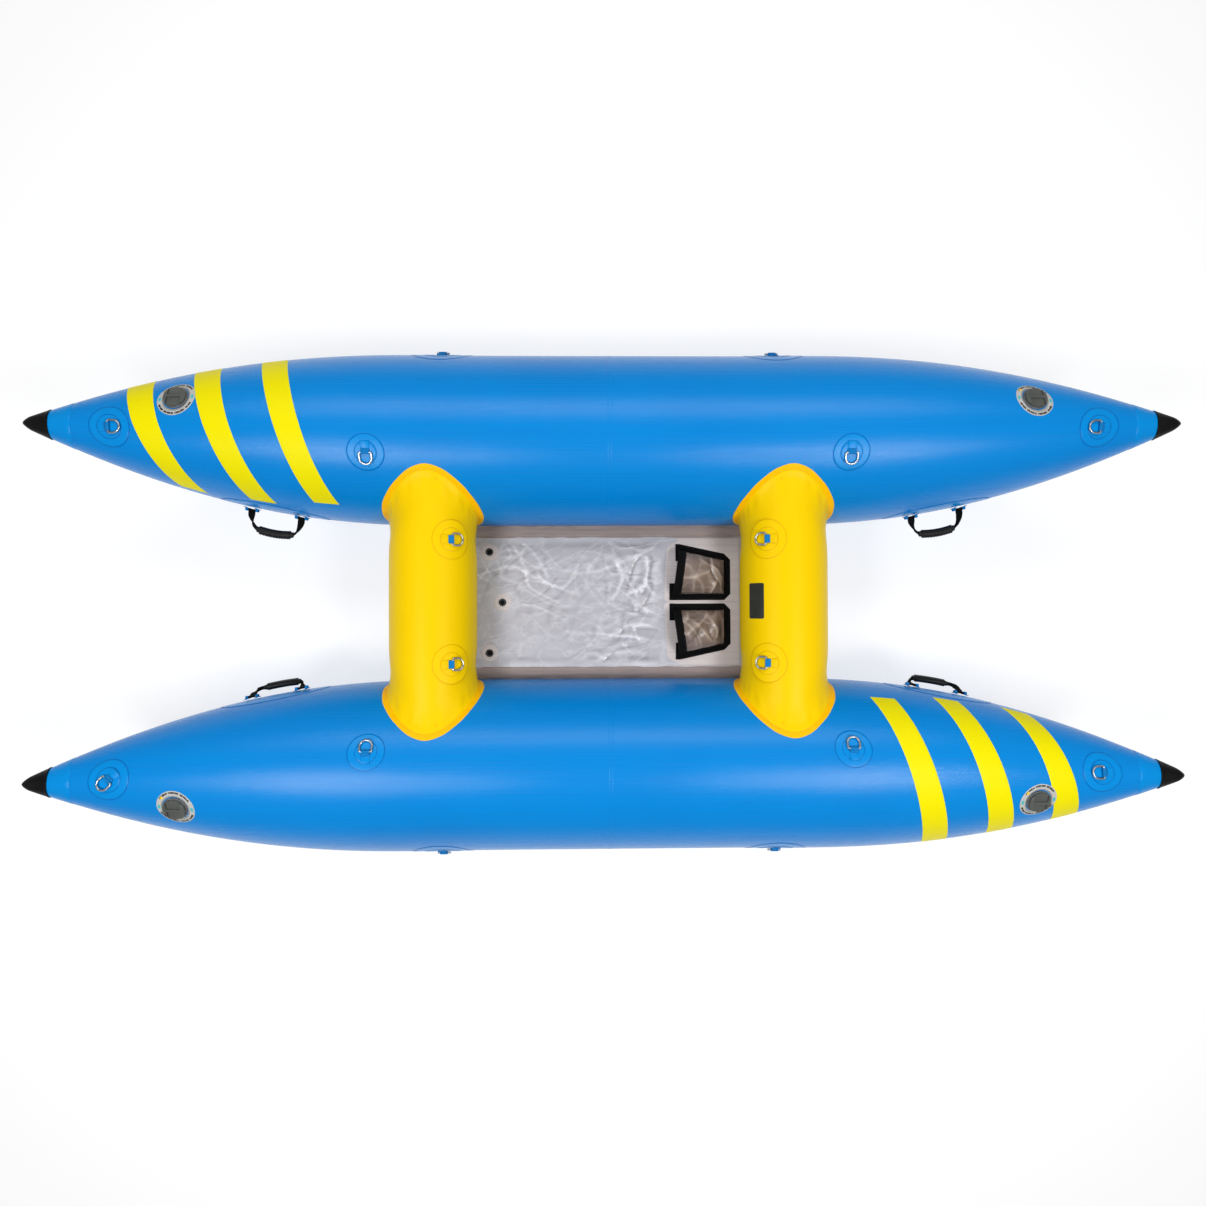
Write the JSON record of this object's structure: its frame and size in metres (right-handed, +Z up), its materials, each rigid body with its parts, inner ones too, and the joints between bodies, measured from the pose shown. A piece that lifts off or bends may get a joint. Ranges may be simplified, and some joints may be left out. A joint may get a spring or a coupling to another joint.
{
  "type": "twin-tube inflatable paddle craft",
  "caption": "Inflatable paddle craft: two kicked-up side tubes, two thwarts, a drained floor with foot cups, lashing rings, lifting handles and valves.",
  "frame": {"origin": "middle of the footprint, on the surface that the two tubes rest on", "axes": "+X towards the bow, +Y to the left side, +Z up"},
  "size_m": [3.6594, 1.723, 0.6051],
  "materials": {
    "tube_blue": "coated woven fabric, satin",
    "thwart_yellow": "coated woven fabric, satin",
    "flange_yellow": "coated fabric, satin",
    "nose_black": "moulded rubber",
    "baffle_grey": "coated fabric",
    "floor_grey": "translucent coated sheet",
    "hem_taupe": "coated fabric",
    "patch_beige": "coated fabric",
    "cup_taupe": "glossy coated fabric",
    "webbing_black": "woven webbing",
    "webbing_blue": "woven webbing",
    "patch_blue": "coated fabric",
    "grip_black": "moulded, ribbed",
    "ring_steel": "welded stainless wire",
    "valve_grey": "moulded plastic",
    "cap_grey": "moulded plastic",
    "plunger_white": "moulded plastic",
    "spring_steel": "spring wire",
    "label_grey": "printed film",
    "grommet_dark": "moulded plastic"
  },
  "bodies": {
    "hull": {"tube_left": "tube_blue", "tube_right": "tube_blue", "chamber_baffles": "baffle_grey", "nose_cones": "nose_black", "thwart_front": "thwart_yellow", "thwart_rear": "thwart_yellow", "thwart_flanges": "flange_yellow", "floor_panel": "floor_grey", "floor_hems": "hem_taupe", "floor_end_flaps": "hem_taupe", "floor_reinforcements": "patch_beige", "drain_grommets": "grommet_dark", "foot_cups": "cup_taupe", "foot_cup_webbing": "webbing_black", "ring_patches": "patch_blue", "ring_loops": "webbing_blue", "handle_patches": "patch_blue", "handle_anchor_tabs": "webbing_blue", "valve_bodies": "valve_grey", "valve_nuts": "valve_grey", "valve_springs": "spring_steel", "valve_labels": "label_grey"},
    "ring_top_front_left": {"ring_top_front_left": "ring_steel"},
    "ring_side_front_left": {"ring_side_front_left": "ring_steel"},
    "ring_end_front_left": {"ring_end_front_left": "ring_steel"},
    "ring_top_rear_left": {"ring_top_rear_left": "ring_steel"},
    "ring_side_rear_left": {"ring_side_rear_left": "ring_steel"},
    "ring_end_rear_left": {"ring_end_rear_left": "ring_steel"},
    "ring_top_front_right": {"ring_top_front_right": "ring_steel"},
    "ring_side_front_right": {"ring_side_front_right": "ring_steel"},
    "ring_end_front_right": {"ring_end_front_right": "ring_steel"},
    "ring_top_rear_right": {"ring_top_rear_right": "ring_steel"},
    "ring_side_rear_right": {"ring_side_rear_right": "ring_steel"},
    "ring_end_rear_right": {"ring_end_rear_right": "ring_steel"},
    "ring_thwart_front_left": {"ring_thwart_front_left": "ring_steel"},
    "ring_thwart_front_right": {"ring_thwart_front_right": "ring_steel"},
    "ring_thwart_rear_left": {"ring_thwart_rear_left": "ring_steel"},
    "ring_thwart_rear_right": {"ring_thwart_rear_right": "ring_steel"},
    "handle_front_left": {"handle_strap_front_left": "webbing_black", "handle_grip_front_left": "grip_black"},
    "handle_rear_left": {"handle_strap_rear_left": "webbing_black", "handle_grip_rear_left": "grip_black"},
    "handle_front_right": {"handle_strap_front_right": "webbing_black", "handle_grip_front_right": "grip_black"},
    "handle_rear_right": {"handle_strap_rear_right": "webbing_black", "handle_grip_rear_right": "grip_black"},
    "valve_cap_front_left": {"valve_cap_front_left": "cap_grey"},
    "valve_plunger_front_left": {"valve_plunger_front_left": "plunger_white"},
    "valve_cap_rear_left": {"valve_cap_rear_left": "cap_grey"},
    "valve_plunger_rear_left": {"valve_plunger_rear_left": "plunger_white"},
    "valve_cap_front_right": {"valve_cap_front_right": "cap_grey"},
    "valve_plunger_front_right": {"valve_plunger_front_right": "plunger_white"},
    "valve_cap_rear_right": {"valve_cap_rear_right": "cap_grey"},
    "valve_plunger_rear_right": {"valve_plunger_rear_right": "plunger_white"},
    "valve_cap_thwart_front": {"valve_cap_thwart_front": "cap_grey"},
    "valve_plunger_thwart_front": {"valve_plunger_thwart_front": "plunger_white"},
    "valve_cap_thwart_rear": {"valve_cap_thwart_rear": "cap_grey"},
    "valve_plunger_thwart_rear": {"valve_plunger_thwart_rear": "plunger_white"}
  },
  "joints": [
    {"name": "ring_top_front_left_swing", "type": "hinge", "parent": "hull", "child": "ring_top_front_left", "pos_m": [0.765, 0.46586, 0.58268], "axis": [-0.9996, 0.0094, -0.0272], "range_deg": [0, 168]},
    {"name": "ring_side_front_left_swing", "type": "hinge", "parent": "hull", "child": "ring_side_front_left", "pos_m": [0.562, 0.84855, 0.37575], "axis": [1, 0.0074, 0.0021], "range_deg": [0, 168]},
    {"name": "ring_end_front_left_swing", "type": "hinge", "parent": "hull", "child": "ring_end_front_left", "pos_m": [1.55, 0.54471, 0.59587], "axis": [0, 0.9925, 0.1219], "range_deg": [0, 168]},
    {"name": "ring_top_rear_left_swing", "type": "hinge", "parent": "hull", "child": "ring_top_rear_left", "pos_m": [-0.765, 0.46586, 0.58268], "axis": [-0.9996, -0.0094, 0.0272], "range_deg": [0, 168]},
    {"name": "ring_side_rear_left_swing", "type": "hinge", "parent": "hull", "child": "ring_side_rear_left", "pos_m": [-0.562, 0.84855, 0.37575], "axis": [1, -0.0074, -0.0021], "range_deg": [0, 168]},
    {"name": "ring_end_rear_left_swing", "type": "hinge", "parent": "hull", "child": "ring_end_rear_left", "pos_m": [-1.55, 0.54471, 0.59587], "axis": [0, -0.9925, -0.1219], "range_deg": [0, 168]},
    {"name": "ring_top_front_right_swing", "type": "hinge", "parent": "hull", "child": "ring_top_front_right", "pos_m": [0.765, -0.46586, 0.58268], "axis": [0.9996, 0.0094, 0.0272], "range_deg": [0, 168]},
    {"name": "ring_side_front_right_swing", "type": "hinge", "parent": "hull", "child": "ring_side_front_right", "pos_m": [0.562, -0.84855, 0.37575], "axis": [-1, 0.0074, -0.0021], "range_deg": [0, 168]},
    {"name": "ring_end_front_right_swing", "type": "hinge", "parent": "hull", "child": "ring_end_front_right", "pos_m": [1.55, -0.54471, 0.59587], "axis": [0, 0.9925, -0.1219], "range_deg": [0, 168]},
    {"name": "ring_top_rear_right_swing", "type": "hinge", "parent": "hull", "child": "ring_top_rear_right", "pos_m": [-0.765, -0.46586, 0.58268], "axis": [0.9996, -0.0094, -0.0272], "range_deg": [0, 168]},
    {"name": "ring_side_rear_right_swing", "type": "hinge", "parent": "hull", "child": "ring_side_rear_right", "pos_m": [-0.562, -0.84855, 0.37575], "axis": [-1, -0.0074, 0.0021], "range_deg": [0, 168]},
    {"name": "ring_end_rear_right_swing", "type": "hinge", "parent": "hull", "child": "ring_end_rear_right", "pos_m": [-1.55, -0.54471, 0.59587], "axis": [-0.7064, 0.698, -0.1174], "range_deg": [0, 168]},
    {"name": "ring_thwart_front_left_swing", "type": "hinge", "parent": "hull", "child": "ring_thwart_front_left", "pos_m": [0.50276, 0.2, 0.52659], "axis": [0, 1, 0], "range_deg": [0, 168]},
    {"name": "ring_thwart_front_right_swing", "type": "hinge", "parent": "hull", "child": "ring_thwart_front_right", "pos_m": [0.50276, -0.2, 0.52659], "axis": [0, 1, 0], "range_deg": [0, 168]},
    {"name": "ring_thwart_rear_left_swing", "type": "hinge", "parent": "hull", "child": "ring_thwart_rear_left", "pos_m": [-0.50276, 0.2, 0.52659], "axis": [0, -1, 0], "range_deg": [0, 168]},
    {"name": "ring_thwart_rear_right_swing", "type": "hinge", "parent": "hull", "child": "ring_thwart_rear_right", "pos_m": [-0.50276, -0.2, 0.52659], "axis": [0, -1, 0], "range_deg": [0, 168]},
    {"name": "handle_front_left_swing", "type": "hinge", "parent": "hull", "child": "handle_front_left", "pos_m": [1.13147, 0.3034, 0.35716], "axis": [0.9857, 0.1683, -0.0059], "range_deg": [-88, 64]},
    {"name": "handle_rear_left_swing", "type": "hinge", "parent": "hull", "child": "handle_rear_left", "pos_m": [-1.13147, 0.3034, 0.35716], "axis": [0.9857, -0.1683, 0.0059], "range_deg": [-88, 64]},
    {"name": "handle_front_right_swing", "type": "hinge", "parent": "hull", "child": "handle_front_right", "pos_m": [1.13147, -0.3034, 0.35716], "axis": [-0.9857, 0.1683, 0.0059], "range_deg": [-148, 4]},
    {"name": "handle_rear_right_swing", "type": "hinge", "parent": "hull", "child": "handle_rear_right", "pos_m": [-1.13147, -0.3034, 0.35716], "axis": [-0.9857, -0.1683, -0.0059], "range_deg": [-148, 4]},
    {"name": "valve_cap_front_left_turn", "type": "hinge", "parent": "hull", "child": "valve_cap_front_left", "pos_m": [1.348, 0.63561, 0.58222], "axis": [0.0388, 0.3662, 0.9297], "range_deg": [0, 90]},
    {"name": "valve_plunger_front_left_push", "type": "slide", "parent": "hull", "child": "valve_plunger_front_left", "axis": [-0.0388, -0.3662, -0.9297], "range_m": [0, 0.006], "stiffness_N_per_m": 500, "springref_m": -0.004, "deforming": ["valve_springs"]},
    {"name": "valve_cap_rear_left_turn", "type": "hinge", "parent": "hull", "child": "valve_cap_rear_left", "pos_m": [-1.348, 0.63561, 0.58222], "axis": [-0.0388, 0.3662, 0.9297], "range_deg": [0, 90]},
    {"name": "valve_plunger_rear_left_push", "type": "slide", "parent": "hull", "child": "valve_plunger_rear_left", "axis": [0.0388, -0.3662, -0.9297], "range_m": [0, 0.006], "stiffness_N_per_m": 500, "springref_m": -0.004, "deforming": ["valve_springs"]},
    {"name": "valve_cap_front_right_turn", "type": "hinge", "parent": "hull", "child": "valve_cap_front_right", "pos_m": [1.348, -0.63561, 0.58222], "axis": [0.0388, -0.3662, 0.9297], "range_deg": [0, 90]},
    {"name": "valve_plunger_front_right_push", "type": "slide", "parent": "hull", "child": "valve_plunger_front_right", "axis": [-0.0388, 0.3662, -0.9297], "range_m": [0, 0.006], "stiffness_N_per_m": 500, "springref_m": -0.004, "deforming": ["valve_springs"]},
    {"name": "valve_cap_rear_right_turn", "type": "hinge", "parent": "hull", "child": "valve_cap_rear_right", "pos_m": [-1.348, -0.63561, 0.58222], "axis": [-0.0388, -0.3662, 0.9297], "range_deg": [0, 90]},
    {"name": "valve_plunger_rear_right_push", "type": "slide", "parent": "hull", "child": "valve_plunger_rear_right", "axis": [0.0388, 0.3662, -0.9297], "range_m": [0, 0.006], "stiffness_N_per_m": 500, "springref_m": -0.004, "deforming": ["valve_springs"]},
    {"name": "valve_cap_thwart_front_turn", "type": "hinge", "parent": "hull", "child": "valve_cap_thwart_front", "pos_m": [0.72444, 0.12, 0.34768], "axis": [0.9272, 0, -0.3746], "range_deg": [0, 90]},
    {"name": "valve_plunger_thwart_front_push", "type": "slide", "parent": "hull", "child": "valve_plunger_thwart_front", "axis": [-0.9272, 0, 0.3746], "range_m": [0, 0.006], "stiffness_N_per_m": 500, "springref_m": -0.004, "deforming": ["valve_springs"]},
    {"name": "valve_cap_thwart_rear_turn", "type": "hinge", "parent": "hull", "child": "valve_cap_thwart_rear", "pos_m": [-0.72444, -0.12, 0.34768], "axis": [-0.9272, 0, -0.3746], "range_deg": [0, 90]},
    {"name": "valve_plunger_thwart_rear_push", "type": "slide", "parent": "hull", "child": "valve_plunger_thwart_rear", "axis": [0.9272, 0, 0.3746], "range_m": [0, 0.006], "stiffness_N_per_m": 500, "springref_m": -0.004, "deforming": ["valve_springs"]}
  ]
}
